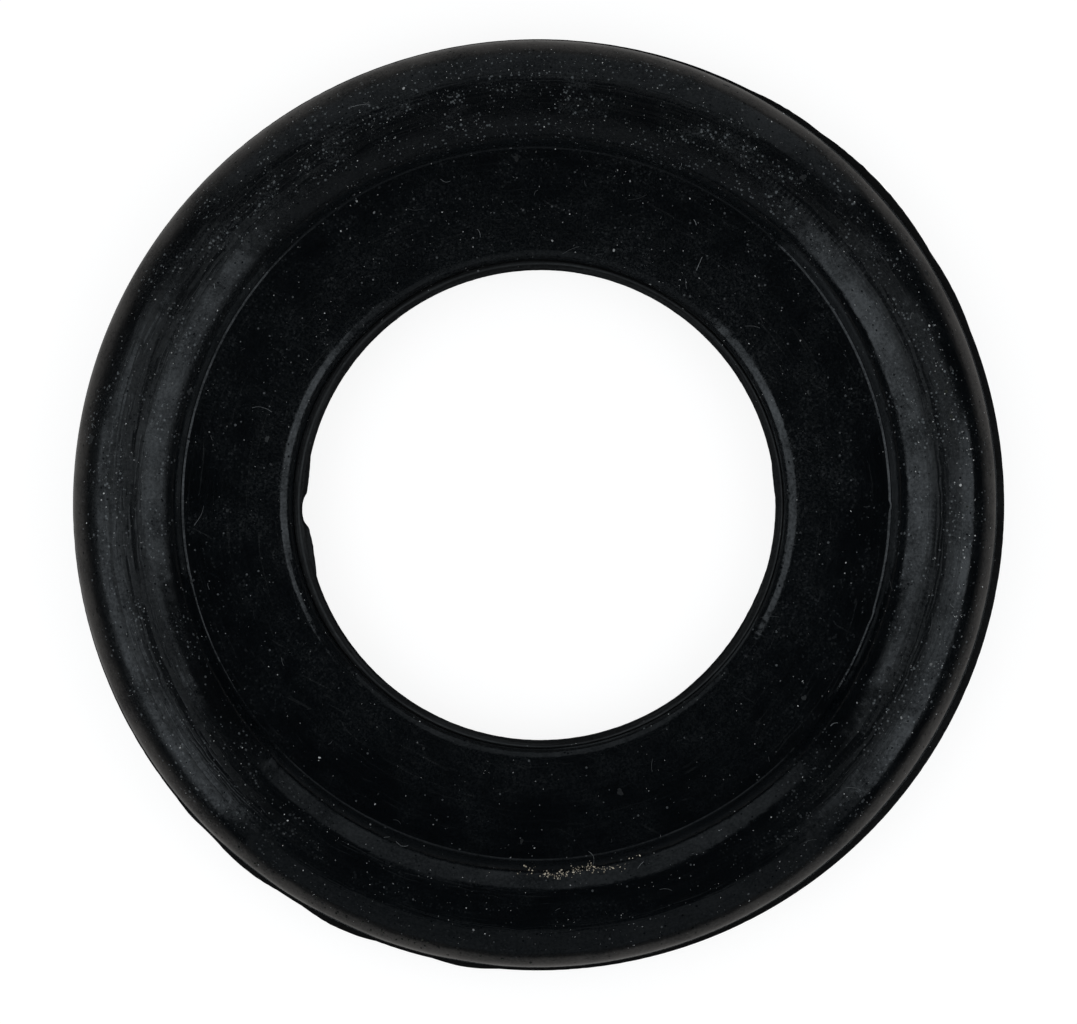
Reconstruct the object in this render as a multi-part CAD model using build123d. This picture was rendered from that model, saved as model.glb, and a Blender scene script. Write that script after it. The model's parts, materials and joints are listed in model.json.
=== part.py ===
"""Sealing ring: one rubber moulding, with a round bead at the rim and a flat web to the hole.

The ring lies flat on its bead. The origin is on the axis of the hole, at the surface that it lies
on, and +Z points up. The mould had an upper and a lower half, which met at mid height: the upper
half sat a little off the axis, so the two halves of the bead are stepped at the parting line.
Lengths are in millimetres and angles are in degrees, counted from +X towards +Y.
"""

import os
from math import cos, radians, sin, sqrt

from build123d import *

# Bead at the rim
bead_diameter = 2.06
bead_circle_radius = 7.91
foot_chamfer = 0.06

# Web, and the full round where it ends at the hole
web_thickness = 0.60
lip_nose_radius = 4.71

# Land left at the parting line in the hole, where the moulding was trimmed
bore_radius = 4.55
land_thickness = 0.22
land_edge_chamfer = 0.035

# Mismatch of the mould: the upper cavity, and its core for the hole
cavity_shift_x = -0.100
cavity_shift_y = 0.029
core_shift_x = -0.026
core_shift_y = 0.019

# Flash at the parting line
flash_thickness = 0.06
rim_flash_reach = 0.067
rim_flash_shift_x = -0.036
rim_flash_shift_y = 0.005
flash_root_depth = 0.13

# Lobes that the flash still has: angle, half width in degrees, and height over the trimmed edge
rim_lobes = [
    (43.5, 14.0, 0.068),
    (221.5, 2.5, 0.022),
    (231.0, 4.0, 0.026),
    (244.5, 3.5, 0.038),
    (261.0, 4.0, 0.052),
]
bore_lobes = [
    (6.0, 4.0, 0.023),
    (173.3, 5.0, 0.040),
    (190.0, 7.5, 0.080),
    (328.0, 20.0, 0.030),
]

# Place where the land was torn back, between the two largest lobes
tear_angle = 181.5
tear_radius = 0.88
tear_depth = 0.068

bead_radius = bead_diameter / 2
web_half = web_thickness / 2
land_half = land_thickness / 2
lip_centre_radius = lip_nose_radius + web_half
rim_flash_radius = bead_circle_radius + bead_radius + rim_flash_reach
parting_height = bead_radius


def polar(radius, angle):
    """Point on the parting plane at that radius and angle."""
    return Vector(radius * cos(radians(angle)), radius * sin(radians(angle)))


def half_section():
    """Section of one half of the ring, from the axis to the rim, on the parting plane."""
    bead = Pos(bead_circle_radius, 0) * Circle(bead_radius)
    web = Rectangle(bead_circle_radius, web_half, align=(Align.MIN, Align.MIN))
    kept = Rectangle(2 * bead_circle_radius, bead_diameter, align=(Align.MIN, Align.MIN))
    section = (bead + web) & kept
    foot_radius = bead_circle_radius - sqrt(bead_radius**2 - web_half**2)
    foot = section.vertices().sort_by_distance((foot_radius, web_half, 0))[0]
    return chamfer(foot, foot_chamfer)


def core_section():
    """What the core clears over the land: everything inside the round of the lip."""
    height = bead_diameter
    block = Pos(0, land_half) * Rectangle(lip_centre_radius, height, align=(Align.MIN, Align.MIN))
    return block - Pos(lip_centre_radius, 0) * Circle(web_half)


def turned(section):
    """Solid of revolution about Z of a section drawn with X outwards and Y up."""
    return revolve(Plane.XZ * section, axis=Axis.Z)


def flash_lobe(edge_radius, root_radius, angle, half_width, height):
    """Thin lobe of flash that stands over the edge, away from its root in the ring."""
    tip_radius = edge_radius + height if edge_radius > root_radius else edge_radius - height
    start = polar(edge_radius, angle - half_width)
    end = polar(edge_radius, angle + half_width)
    root_start = polar(root_radius, angle - half_width)
    root_end = polar(root_radius, angle + half_width)
    outline = [
        ThreePointArc(start, polar(tip_radius, angle), end),
        Line(end, root_end),
        ThreePointArc(root_end, polar(root_radius, angle), root_start),
        Line(root_start, start),
    ]
    return extrude(make_face(outline), amount=flash_thickness / 2, both=True)


def moulded_halves():
    """The two halves as the cavities gave them, with the upper one off the axis."""
    half = turned(half_section())
    upper = Pos(cavity_shift_x, cavity_shift_y) * half
    return upper + mirror(half, about=Plane.XY)


def rim_flash():
    """Flash round the rim, with its lobes, trimmed a little off the axis."""
    root_radius = rim_flash_radius - rim_flash_reach - flash_root_depth
    flash = Cylinder(rim_flash_radius, flash_thickness) - Cylinder(root_radius, flash_thickness)
    for angle, half_width, height in rim_lobes:
        flash += flash_lobe(rim_flash_radius, root_radius, angle, half_width, height)
    return Pos(rim_flash_shift_x, rim_flash_shift_y) * flash


def cut_hole(body):
    """Cut the hole: the round of the lip on both sides, the land between, and the tear."""
    core = turned(core_section())
    body -= Pos(core_shift_x, core_shift_y) * core
    body -= mirror(core, about=Plane.XY)
    body -= Cylinder(bore_radius, bead_diameter)
    land_edges = body.edges().filter_by(
        lambda edge: edge.geom_type == GeomType.CIRCLE and abs(edge.radius - bore_radius) < 1e-6
    )
    body = chamfer(land_edges, land_edge_chamfer)
    for angle, half_width, height in bore_lobes:
        body += flash_lobe(bore_radius, bore_radius + flash_root_depth, angle, half_width, height)
    tear_centre = polar(bore_radius + tear_depth - tear_radius, tear_angle)
    return body - Pos(tear_centre) * Cylinder(tear_radius, land_thickness)


def sealing_ring():
    """The whole ring, standing on its lower bead."""
    body = cut_hole(moulded_halves() + rim_flash())
    return Pos(0, 0, parting_height) * body


os.makedirs("parts", exist_ok=True)
export_step(sealing_ring(), "parts/sealing_ring.step")
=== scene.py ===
"""The sealing ring's looks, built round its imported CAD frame.

The ring is one rubber moulding. Its mesh is drawn as a section, spun round the axis of the hole, and then
moved by what the mould did to it: the halves shut a little out of line, the flash was torn off at the rim,
and the core's flash was torn off in the hole. Lint, grit and dust lie on it as small pieces of their own.
The properties are in metres. Other sizes are in millimetres: radii are from the axis of the hole, and heights
are from the parting line in the drawn section, and from the surface that the ring lies on in the materials.
"""

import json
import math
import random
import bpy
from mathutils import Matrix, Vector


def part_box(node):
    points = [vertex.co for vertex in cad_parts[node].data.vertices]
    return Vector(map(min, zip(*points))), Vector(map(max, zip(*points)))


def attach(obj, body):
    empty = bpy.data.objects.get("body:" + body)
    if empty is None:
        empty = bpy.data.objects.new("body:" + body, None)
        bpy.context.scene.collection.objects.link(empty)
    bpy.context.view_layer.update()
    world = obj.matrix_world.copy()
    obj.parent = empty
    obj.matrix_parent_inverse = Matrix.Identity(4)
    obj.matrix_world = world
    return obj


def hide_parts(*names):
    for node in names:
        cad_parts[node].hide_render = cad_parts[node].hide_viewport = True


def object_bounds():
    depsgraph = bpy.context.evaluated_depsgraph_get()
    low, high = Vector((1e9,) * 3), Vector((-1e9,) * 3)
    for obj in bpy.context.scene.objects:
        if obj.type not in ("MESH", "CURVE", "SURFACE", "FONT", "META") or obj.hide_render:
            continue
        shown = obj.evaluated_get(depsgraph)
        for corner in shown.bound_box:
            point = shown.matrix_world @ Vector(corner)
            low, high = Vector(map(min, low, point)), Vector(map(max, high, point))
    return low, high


bl_info = {
    "name": "Sealing Ring",
    "version": (1, 0, 0),
    "blender": (4, 5, 0),
    "location": "View3D > Sidebar > Sealing Ring",
    "description": "Builds a moulded rubber sealing ring, the dust on it and a small studio round it",
    "category": "Add Mesh",
}

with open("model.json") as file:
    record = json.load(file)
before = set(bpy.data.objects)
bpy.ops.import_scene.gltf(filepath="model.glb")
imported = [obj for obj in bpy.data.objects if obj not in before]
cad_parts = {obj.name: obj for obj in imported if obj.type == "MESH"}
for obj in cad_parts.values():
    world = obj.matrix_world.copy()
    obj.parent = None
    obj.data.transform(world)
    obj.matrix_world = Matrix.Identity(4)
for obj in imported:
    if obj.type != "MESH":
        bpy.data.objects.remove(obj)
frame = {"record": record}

import bmesh
import bpy
from mathutils import Matrix, Vector, noise

CAD_LOW, CAD_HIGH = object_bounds()
MM = 0.001


def record_mount(name):
    """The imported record's mount of that name."""
    return next(m for m in frame["record"]["mounts"] if m["name"] == name)


RING_LOW, RING_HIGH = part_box("sealing_ring")
BEAD_DIAMETER = RING_HIGH[2] - RING_LOW[2]
BORE_RADIUS = record_mount("bore")["dims"]["r_mm"] * MM
WEB_TOP = record_mount("web_top")["pos_m"][2]


# ---------------------------------------------------------------- sizes and colours that a user would change


def hex_linear(text):
    """An sRGB hex value as a linear RGBA colour."""
    parts = [int(text.lstrip("#")[i : i + 2], 16) / 255 for i in (0, 2, 4)]
    return [c / 12.92 if c <= 0.04045 else ((c + 0.055) / 1.055) ** 2.4 for c in parts] + [1.0]


def length(name, description, default):
    """A length property, in metres."""
    settings = {"name": name, "description": description, "default": default}
    return bpy.props.FloatProperty(**settings, min=0.0, precision=6, unit="LENGTH", subtype="DISTANCE")


def colour(name, description, default):
    """A colour property, from its sRGB hex value."""
    settings = {"name": name, "description": description, "default": hex_linear(default)}
    return bpy.props.FloatVectorProperty(**settings, size=4, min=0.0, max=1.0, subtype="COLOR")


def count(name, description, default):
    """How many of something there are."""
    return bpy.props.IntProperty(name=name, description=description, default=default, min=0)


class RingSettings(bpy.types.PropertyGroup):
    """Sizes and colours of the rubber ring."""

    bead_diameter: length("Bead diameter", "Thickness of the round bead at the rim", BEAD_DIAMETER)
    bead_circle: length("Bead circle radius", "From the axis of the hole to the middle of the bead", 0.00791)
    foot_fillet: length("Foot fillet", "Radius where the web meets the bead", 0.000090)
    web_thickness: length("Web thickness", "Thickness of the flat web", 2 * (WEB_TOP - BEAD_DIAMETER / 2))
    lip_nose: length("Lip nose radius", "From the axis to the nose of the rounded lip", 0.00471)
    bore_radius: length("Bore radius", "Radius of the hole", BORE_RADIUS)
    land_thickness: length("Land thickness", "Height of the trimmed land in the hole", 0.00022)
    flash_reach: length("Flash reach", "How far the rim's flash stands out of the bead", 0.000067)
    rubber: colour("Rubber colour", "Colour of the rubber", "#030507")
    film: colour("Film colour", "Colour of the bloom and dust film on the rubber", "#a6aeb2")
    torn: colour("Torn rubber colour", "Colour where the flash was torn off", "#0a0909")


class DustSettings(bpy.types.PropertyGroup):
    """Amount and colours of what lies on the ring."""

    specks: count("Dust specks", "How many loose specks lie on the ring", 1500)
    fibres: count("Lint fibres", "How many short fibres lie on the ring", 70)
    grit: count("Grit grains", "How many grains lie at the foot of the bead", 150)
    crumbs: count("Rubber crumbs", "How many crumbs of torn flash lie at the rim", 46)
    fibre_radius: length("Fibre radius", "Radius of a lint fibre", 0.0000055)
    lint: colour("Lint colour", "Colour of the palest lint", "#85898b")
    dust: colour("Dust colour", "Colour of the palest dust", "#b4b6b6")
    crumb: colour("Crumb colour", "Colour of the palest crumbs of torn rubber", "#23271f")
    pale_grit: colour("Grit colour", "Colour of the grit at the foot of the bead", "#beb5a4")


class StudioSettings(bpy.types.PropertyGroup):
    """The floor, the lights and the camera."""

    floor: colour("Floor colour", "Colour of the paper floor", "#c8c8c8")
    lens: bpy.props.FloatProperty(
        name="Lens", description="Focal length of the camera", default=250.0, min=20.0, unit="CAMERA"
    )
    view_width: length("View width", "Width of the picture at the middle of the ring's thickness", 0.02083)


# ---------------------------------------------------------------- small helpers


def add(tree, kind, inputs=None, out=0, stops=None, **settings):
    """Adds a node with its settings and links, and returns one of its outputs."""
    made = tree.nodes.new(kind)
    for name, value in settings.items():
        setattr(made, name, value)
    for key, value in (inputs or {}).items():
        if isinstance(value, bpy.types.NodeSocket):
            tree.links.new(value, made.inputs[key])
        else:
            made.inputs[key].default_value = value
    for place, (position, value) in enumerate(stops or []):
        ramp = made.color_ramp.elements
        stop = ramp[place] if place < len(ramp) else ramp.new(position)
        stop.position = position
        stop.color = (value, value, value, 1.0)
    return made.outputs[out] if len(made.outputs) else made


def smooth(low, high, value):
    """0 below low, 1 above high, and a smooth rise between them."""
    t = min(1.0, max(0.0, (value - low) / (high - low)))
    return t * t * (3 - 2 * t)


def away(angle, centre):
    """Degrees from one angle to another, from -180 to 180."""
    return (angle - centre + 180) % 360 - 180


def around(angle, fineness, seed):
    """Noise that runs round the ring and closes on itself."""
    t = math.radians(angle)
    return noise.noise(Vector((math.cos(t) * fineness, math.sin(t) * fineness, seed)))


def polar(radius, angle):
    """X and Y of a point at an angle in radians."""
    return radius * math.cos(angle), radius * math.sin(angle)


def finished(bm, name, material):
    """Makes an object from a bmesh drawn in millimetres, with its place in its mesh."""
    bmesh.ops.scale(bm, vec=Vector((MM, MM, MM)), verts=bm.verts)
    mesh = bpy.data.meshes.new(name)
    bm.to_mesh(mesh)
    bm.free()
    mesh.shade_smooth()
    mesh.materials.append(material)
    made = bpy.data.objects.new(name, mesh)
    bpy.context.scene.collection.objects.link(made)
    return made


def drop_old(name):
    """Removes what an earlier press of the button left."""
    old = bpy.data.objects.get(name)
    if old is not None:
        bpy.data.objects.remove(old)


# ---------------------------------------------------------------- the ring's shape

# the halves of the mould, as they shut: the upper cavity and the upper core, against the axis of the hole
CAVITY_SHIFT = (-0.100, 0.029)
CORE_SHIFT = (-0.026, 0.019)
FLASH_SHIFT = (-0.036, 0.005)
# half the thickness of the flash, and the lip's flattening against a full round
FLASH_HALF = 0.03
LIP_SPREAD = 1.2

# beside the land: the height where the round of the lip ends, the ridge as radii and heights, the groove's
# radii, and the chamfer of the land
LIP_END = 0.065
LAND_RIDGE = ((4.696, 0.090), (4.676, 0.119), (4.662, 0.122), (4.640, 0.115), (4.612, 0.108))
GROOVE = (4.680, 4.696)
LAND_CHAMFER = 0.035

# steps along the bead, its foot, the web and the lip, above and below the parting line, and round the ring
UPPER_STEPS = (72, 8, 12, 14)
UNDER_STEPS = (20, 4, 6, 8)
WEDGES = 25
WEDGE_STEPS = 24
CREASE_ANGLE = math.radians(38)

# flash left at the rim: angle, half width in degrees, height
RIM_LOBES = (
    (28.0, 6.0, 0.030),
    (43.5, 12.0, 0.076),
    (56.5, 6.5, 0.044),
    (221.5, 2.5, 0.022),
    (231.0, 5.0, 0.050),
    (244.5, 5.0, 0.062),
    (261.0, 4.0, 0.050),
)
# flash left in the hole: angle, half width before it and after it, height
BORE_LOBES = (
    (6.0, 4.0, 4.0, 0.023),
    (173.3, 5.0, 5.0, 0.040),
    (189.5, 5.5, 8.0, 0.080),
    (328.0, 22.0, 16.0, 0.030),
)
# where the land was torn back: angle, half width in degrees, depth
TEAR = (181.3, 4.2, 0.066)
# the foot of the bead is drawn in a little, more on the X side than on the Y side: the mean depth and its
# change, the shift in X, the radii where it starts, is full and ends, how far it fades, and the height that
# it reaches
FOOT_DRAWN_IN = (0.071, 0.019)
FOOT_SHIFT_X = 0.020
FOOT_START, FOOT_FULL, FOOT_END = 6.3, 6.7, 7.28
FOOT_FADE = 0.40
FOOT_HEIGHT = 0.85
# it is nicked in two places: angle, half width in degrees, depth, and the radii of a nick's two ends
FOOT_NICKS = ((359.6, 0.9, 0.030), (341.5, 1.3, 0.024))
NICK_INNER, NICK_OUTER = (6.7, 6.8), (7.0, 6.9)
# the lip stands back on the -X side: how far, and the degrees from -X and the radii where that ends and
# where it is full
LIP_BACK = 0.042
LIP_BACK_SPAN = (50, 25)
LIP_BACK_RADII = (5.9, 5.1)
# a faint crease runs round the crest: depth, place inside the bead circle, width. The crest is also uneven
CREST_CREASE = (0.0035, 0.045, 0.022)
CREST_UNEVEN = 0.004
# the upper half of the bead swells a little at the rim: angle, half width in degrees, height
RIM_SWELLS = ((75.0, 48.0, 0.030), (280.0, 42.0, 0.042))


class Section:
    """The heights and radii that the drawn section and the moves share, in millimetres."""

    def __init__(self, s):
        self.bead = s.bead_diameter / MM / 2
        self.circle = s.bead_circle / MM
        self.fillet = s.foot_fillet / MM
        self.web = s.web_thickness / MM / 2
        self.lip = s.lip_nose / MM + self.web
        self.bore = s.bore_radius / MM
        self.land = s.land_thickness / MM / 2
        self.flash = self.circle + self.bead + s.flash_reach / MM


def pen_arc(bm, tip, centre, degrees, steps):
    """Carries the tip of a line round a centre in the plane of the section."""
    turn = {"cent": (centre[0], 0, centre[1]), "axis": (0, 1, 0), "angle": math.radians(degrees)}
    made = bmesh.ops.spin(bm, geom=[tip], **turn, steps=steps, use_duplicate=False)
    return next(v for v in made["geom_last"] if isinstance(v, bmesh.types.BMVert))


def pen_line(bm, tip, end, steps=1):
    """Carries the tip of a line straight to a point of the section."""
    step = (Vector((end[0], 0, end[1])) - tip.co) / steps
    for _ in range(steps):
        made = bmesh.ops.extrude_vert_indiv(bm, verts=[tip])
        tip = made["verts"][0]
        bmesh.ops.translate(bm, verts=[tip], vec=step)
    return tip


def draw_half(bm, tip, k, up, steps):
    """Draws half of the section, from the rim's flash to the flash in the hole."""
    bead_steps, foot_steps, web_steps, lip_steps = steps
    start = math.degrees(math.asin(FLASH_HALF / k.bead))
    foot = math.degrees(math.asin((k.web + k.fillet) / (k.bead + k.fillet)))
    foot_x = k.circle - (k.bead + k.fillet) * math.cos(math.radians(foot))
    tip = pen_line(bm, tip, (k.circle + k.bead * math.cos(math.radians(start)), up * FLASH_HALF))
    tip = pen_arc(bm, tip, (k.circle, 0), -up * (180 - foot - start), bead_steps)
    tip = pen_arc(bm, tip, (foot_x, up * (k.web + k.fillet)), up * (90 - foot), foot_steps)
    tip = pen_line(bm, tip, (k.lip, up * k.web), web_steps)
    turn = 90 - math.degrees(math.asin(LIP_END / k.web))
    tip = pen_arc(bm, tip, (k.lip, 0), -up * turn, lip_steps)
    for radius, height in LAND_RIDGE:
        tip = pen_line(bm, tip, (radius, up * height))
    tip = pen_line(bm, tip, (k.bore + LAND_CHAMFER, up * k.land))
    tip = pen_line(bm, tip, (k.bore, up * (k.land - LAND_CHAMFER)))
    return pen_line(bm, tip, (k.bore, up * FLASH_HALF * 0.9), 2)


def rim_growth(angle):
    """How far the rim's flash stands out of its even edge, in millimetres."""
    grown = 0.0
    for centre, half, height in RIM_LOBES:
        t = abs(away(angle, centre)) / half
        if t < 1:
            grown = max(grown, height * (1 - t * t))
    ragged = 0.5 + 0.5 * around(angle, 60, 3.0) + 0.35 * around(angle, 150, 8.0)
    return grown * (0.72 + 0.28 * ragged) - 0.007 * max(0.0, around(angle, 90, 1.0))


def bore_growth(angle):
    """How far the flash stands into the hole, in millimetres."""
    grown = 0.0
    for centre, before, after, height in BORE_LOBES:
        t = away(angle, centre)
        t = -t / before if t < 0 else t / after
        if t < 1:
            grown = max(grown, height * (1 - t**2.2) ** 0.8)
    ragged = 0.5 + 0.5 * around(angle, 35, 5.0) + 0.4 * around(angle, 90, 2.0)
    uneven = 0.006 * max(0.0, around(angle, 30, 9.0)) + 0.004 * max(0.0, around(angle, 110, 4.0))
    return 0.007 + grown * (0.70 + 0.30 * ragged) + uneven


def tear_depth(angle):
    """How far the tear in the hole's edge cuts back into the land, in millimetres."""
    t = away(angle, TEAR[0]) / TEAR[1]
    return TEAR[2] * max(0.0, 1 - t * t)


def foot_move(angle, r, out):
    """How the foot of the bead is drawn in, as a move in the plane of the ring."""
    drawn = FOOT_DRAWN_IN[0] + FOOT_DRAWN_IN[1] * math.cos(2 * math.radians(angle))
    for centre, half, depth in FOOT_NICKS:
        nick = depth * max(0.0, 1 - (away(angle, centre) / half) ** 2)
        drawn -= nick * smooth(*NICK_INNER, r) * smooth(*NICK_OUTER, r)
    share = smooth(FOOT_START, FOOT_FULL, r) * min(1.0, (FOOT_END - r) / FOOT_FADE)
    return (Vector((FOOT_SHIFT_X, 0, 0)) - out * drawn) * share


def upper_move(angle, r, out, k):
    """How the upper half stands off the lower one, and swells a little at the rim."""
    share = smooth(k.lip + 0.1, k.circle - k.bead, r)
    move = Vector((*CAVITY_SHIFT, 0)) * share + Vector((*CORE_SHIFT, 0)) * (1 - share)
    for centre, half, swell in RIM_SWELLS:
        swell *= max(0.0, 1 - (away(angle, centre) / half) ** 2) ** 1.5
        move += out * swell * smooth(8.4, 8.85, r)
    return move


def crest_drop(angle, r, k):
    """How far the crest of the bead lies under a true round, with its crease."""
    depth, inside, width = CREST_CREASE
    crease = depth * math.exp(-(((r - k.circle + inside) / width) ** 2))
    return crease + CREST_UNEVEN * (0.5 + around(angle, 3, 6.0))


def move_as_moulded(bm, k):
    """Moves the spun section as the mould left it."""
    for v in bm.verts:
        x, y, h = v.co
        r = math.hypot(x, y)
        angle = math.degrees(math.atan2(y, x)) % 360
        out = Vector((x / r, y / r, 0))
        # the edges of the flash, at the rim and in the hole
        if r > k.flash - 0.004 and abs(h) <= FLASH_HALF * 1.01:
            v.co += out * rim_growth(angle) + Vector((*FLASH_SHIFT, 0))
            continue
        if r < k.bore + 0.01 and abs(h) < FLASH_HALF * 0.95:
            v.co -= out * (bore_growth(angle) - tear_depth(angle))
            continue
        if r < LIP_BACK_RADII[0]:
            back = LIP_BACK * smooth(*LIP_BACK_SPAN, abs(away(angle, 180)))
            v.co += out * back * smooth(*GROOVE, r) * smooth(*LIP_BACK_RADII, r)
        # the land and the ridge beside it
        if r < k.bore + 0.2 and abs(h) <= k.land * 1.2:
            v.co += out * tear_depth(angle) * smooth(k.bore + 0.15, k.bore, r)
            v.co.z += 0.005 * around(angle, 40, r * 3) * smooth(0.02, 0.1, abs(h))
            if h > 0:
                v.co += Vector((*CORE_SHIFT, 0)) * smooth(*GROOVE, r)
            continue
        if r < k.lip:
            v.co += out * (r - k.lip + k.web) * (LIP_SPREAD - 1) * smooth(0.05, 0.12, abs(h))
        if FOOT_START < r < FOOT_END and abs(h) < FOOT_HEIGHT:
            v.co += foot_move(angle, r, out)
        if h > 0:
            v.co += upper_move(angle, r, out, k)
        if abs(r - k.circle) < 0.5 and abs(h) > 0.8:
            v.co.z -= math.copysign(crest_drop(angle, r, k), h)


def make_ring(s):
    """The rubber ring as one closed mesh."""
    k = Section(s)
    bm = bmesh.new()
    first = bm.verts.new((k.flash, 0, FLASH_HALF))
    last = draw_half(bm, first, k, 1, UPPER_STEPS)
    below = bm.verts.new((k.flash, 0, -FLASH_HALF))
    bm.edges.new((first, below))
    under = draw_half(bm, below, k, -1, UNDER_STEPS)
    bm.edges.new((last, under))
    # a wedge is spun first and then repeated, which is far quicker than one long spin
    upright = {"cent": (0, 0, 0), "axis": (0, 0, 1)}
    line = bm.verts[:] + bm.edges[:]
    wedge = 2 * math.pi / WEDGES
    bmesh.ops.spin(bm, geom=line, **upright, angle=wedge, steps=WEDGE_STEPS, use_duplicate=False)
    wall = bm.verts[:] + bm.edges[:] + bm.faces[:]
    whole = 2 * math.pi
    bmesh.ops.spin(bm, geom=wall, **upright, angle=whole, steps=WEDGES, use_duplicate=True, use_merge=True)
    bmesh.ops.remove_doubles(bm, verts=bm.verts, dist=1e-4)
    move_as_moulded(bm, k)
    bmesh.ops.recalc_face_normals(bm, faces=bm.faces)
    for edge in bm.edges:
        edge.smooth = edge.calc_face_angle(0.0) < CREASE_ANGLE
    bmesh.ops.translate(bm, verts=bm.verts, vec=Vector((0, 0, k.bead)))
    # nothing stands out of the CAD ring's box
    for v in bm.verts:
        v.co = [min(max(c, low / MM), high / MM) for c, low, high in zip(v.co, CAD_LOW, CAD_HIGH)]
    return bm


# ---------------------------------------------------------------- what lies on the ring


# crumbs that lie alone on the outer slope: x, y, size
LARGE_CRUMBS = (
    (8.20, -0.03, 0.030),
    (7.89, 1.70, 0.036),
    (7.79, 2.18, 0.042),
    (8.31, 0.93, 0.018),
    (8.05, -1.30, 0.016),
)
# loose dust: the specks are divided by this, inner and outer radius, least and largest size, usual growth
DUST_LAYERS = (
    (1, 4.62, 8.9, 0.0035, 0.030, 0.0037),
    (2, 7.3, 8.75, 0.0040, 0.016, 0.0025),
)
# dust that gathers on the bead: angle and spread in degrees, inner and outer radius, least size, usual
# growth
DUST_DRIFTS = (
    (0.0, 17.0, 8.03, 8.38, 0.006, 0.006),
    (176.0, 18.0, 7.55, 8.45, 0.0045, 0.003),
)
DRIFT_SHARE = 14
# grit at the foot of the bead: angle and radius with their spreads, and the swing of its line
GRIT_ANGLE = (275.0, 4.2)
GRIT_RADIUS = (7.09, 0.045)
GRIT_SWING = 0.05
# crumbs of torn flash along the rim
CRUMB_ANGLE = (246.0, 11.0)
CRUMB_RADIUS = (8.66, 8.86)
# a fibre has six points, one of these steps apart, and lies only where the ring is no steeper than this
FIBRE_POINTS = 6
FIBRE_STEPS = (0.016, 0.022, 0.03, 0.045, 0.07)
FIBRE_LEAST_UP = 0.45


def surface_at(x, y):
    """The point of the ring's upper side over x and y, and its normal, in millimetres."""
    ring = bpy.data.objects["rubber_ring"]
    met, point, normal, _ = ring.ray_cast((x * MM, y * MM, 0.01), (0, 0, -1))
    return (point / MM, normal) if met else (None, None)


def scattered(rng, low, high):
    """A radius and an angle picked evenly over a flat ring, with more of them towards +Y."""
    while True:
        radius = math.sqrt(rng.uniform(low * low, high * high))
        angle = rng.uniform(0, 2 * math.pi)
        if rng.random() < 0.45 + 0.55 * max(0.0, math.sin(angle)) ** 2:
            return radius, angle


def make_lint(s):
    """Short curved fibres that lie on the ring, as one curve."""
    rng = random.Random(11)
    bpy.context.view_layer.update()
    curve = bpy.data.curves.new("lint_fibres", "CURVE")
    curve.dimensions = "3D"
    curve.bevel_depth = s.fibre_radius
    curve.bevel_resolution = 0
    curve.resolution_u = 3
    curve.use_fill_caps = True
    thick = s.fibre_radius / MM
    made = 0
    while made < s.fibres:
        radius, angle = scattered(rng, 4.85, 8.75)
        x, y = polar(radius, angle)
        heading = rng.uniform(0, 2 * math.pi)
        bend = rng.gauss(0, 0.16)
        step = rng.choice(FIBRE_STEPS) * rng.uniform(0.8, 1.2)
        points = []
        for _ in range(FIBRE_POINTS):
            point, normal = surface_at(x, y)
            if point is None or normal.z < FIBRE_LEAST_UP:
                break
            points.append(point + normal * thick * 0.6)
            x += step * math.cos(heading)
            y += step * math.sin(heading)
            heading += bend + rng.gauss(0, 0.10)
        if len(points) < FIBRE_POINTS:
            continue
        spline = curve.splines.new("NURBS")
        spline.points.add(len(points) - 1)
        for place, point in zip(spline.points, points):
            height = min(point.z, CAD_HIGH[2] / MM - thick * 1.1)
            place.co = (point.x * MM, point.y * MM, height * MM, 1.0)
            place.radius = rng.uniform(0.75, 1.1)
        spline.order_u = 3
        spline.use_endpoint_u = True
        made += 1
    piece = bpy.data.objects.new("lint_fibres", curve)
    curve.materials.append(lint_fibre_material(s))
    bpy.context.scene.collection.objects.link(piece)
    return piece


def add_grain(bm, rng, x, y, size):
    """One small uneven grain, sunk a little into what it lies on."""
    point, normal = surface_at(x, y)
    if point is None:
        return
    shape = Matrix.Diagonal((rng.uniform(0.7, 1.6), rng.uniform(0.7, 1.2), rng.uniform(0.5, 0.9), 1.0))
    turn = Matrix.Rotation(rng.uniform(0, math.pi), 4, "Z")
    lean = normal.to_track_quat("Z", "Y").to_matrix().to_4x4()
    centre = point + normal * size * 0.25
    centre.z = min(centre.z, CAD_HIGH[2] / MM - size)
    place = Matrix.Translation(centre) @ lean @ turn @ shape
    made = bmesh.ops.create_icosphere(bm, subdivisions=1, radius=size, matrix=place)
    for v in made["verts"]:
        v.co += Vector((rng.uniform(-1, 1), rng.uniform(-1, 1), rng.uniform(-1, 1))) * size * 0.12
        v.co.z = min(v.co.z, CAD_HIGH[2] / MM)


def make_specks(s):
    """Loose dust all over the ring, more of it on the bead, and two drifts where it gathered."""
    rng = random.Random(5)
    bm = bmesh.new()
    for share, low, high, least, largest, growth in DUST_LAYERS:
        for _ in range(s.specks // share):
            radius, angle = scattered(rng, low, high)
            size = min(largest, least + rng.expovariate(1 / growth))
            add_grain(bm, rng, *polar(radius, angle), size)
    for centre, spread, low, high, least, growth in DUST_DRIFTS:
        for _ in range(s.specks // DRIFT_SHARE):
            radius, angle = rng.uniform(low, high), math.radians(rng.gauss(centre, spread))
            size = min(0.030, least + rng.expovariate(1 / growth))
            add_grain(bm, rng, *polar(radius, angle), size)
    return bm


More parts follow.
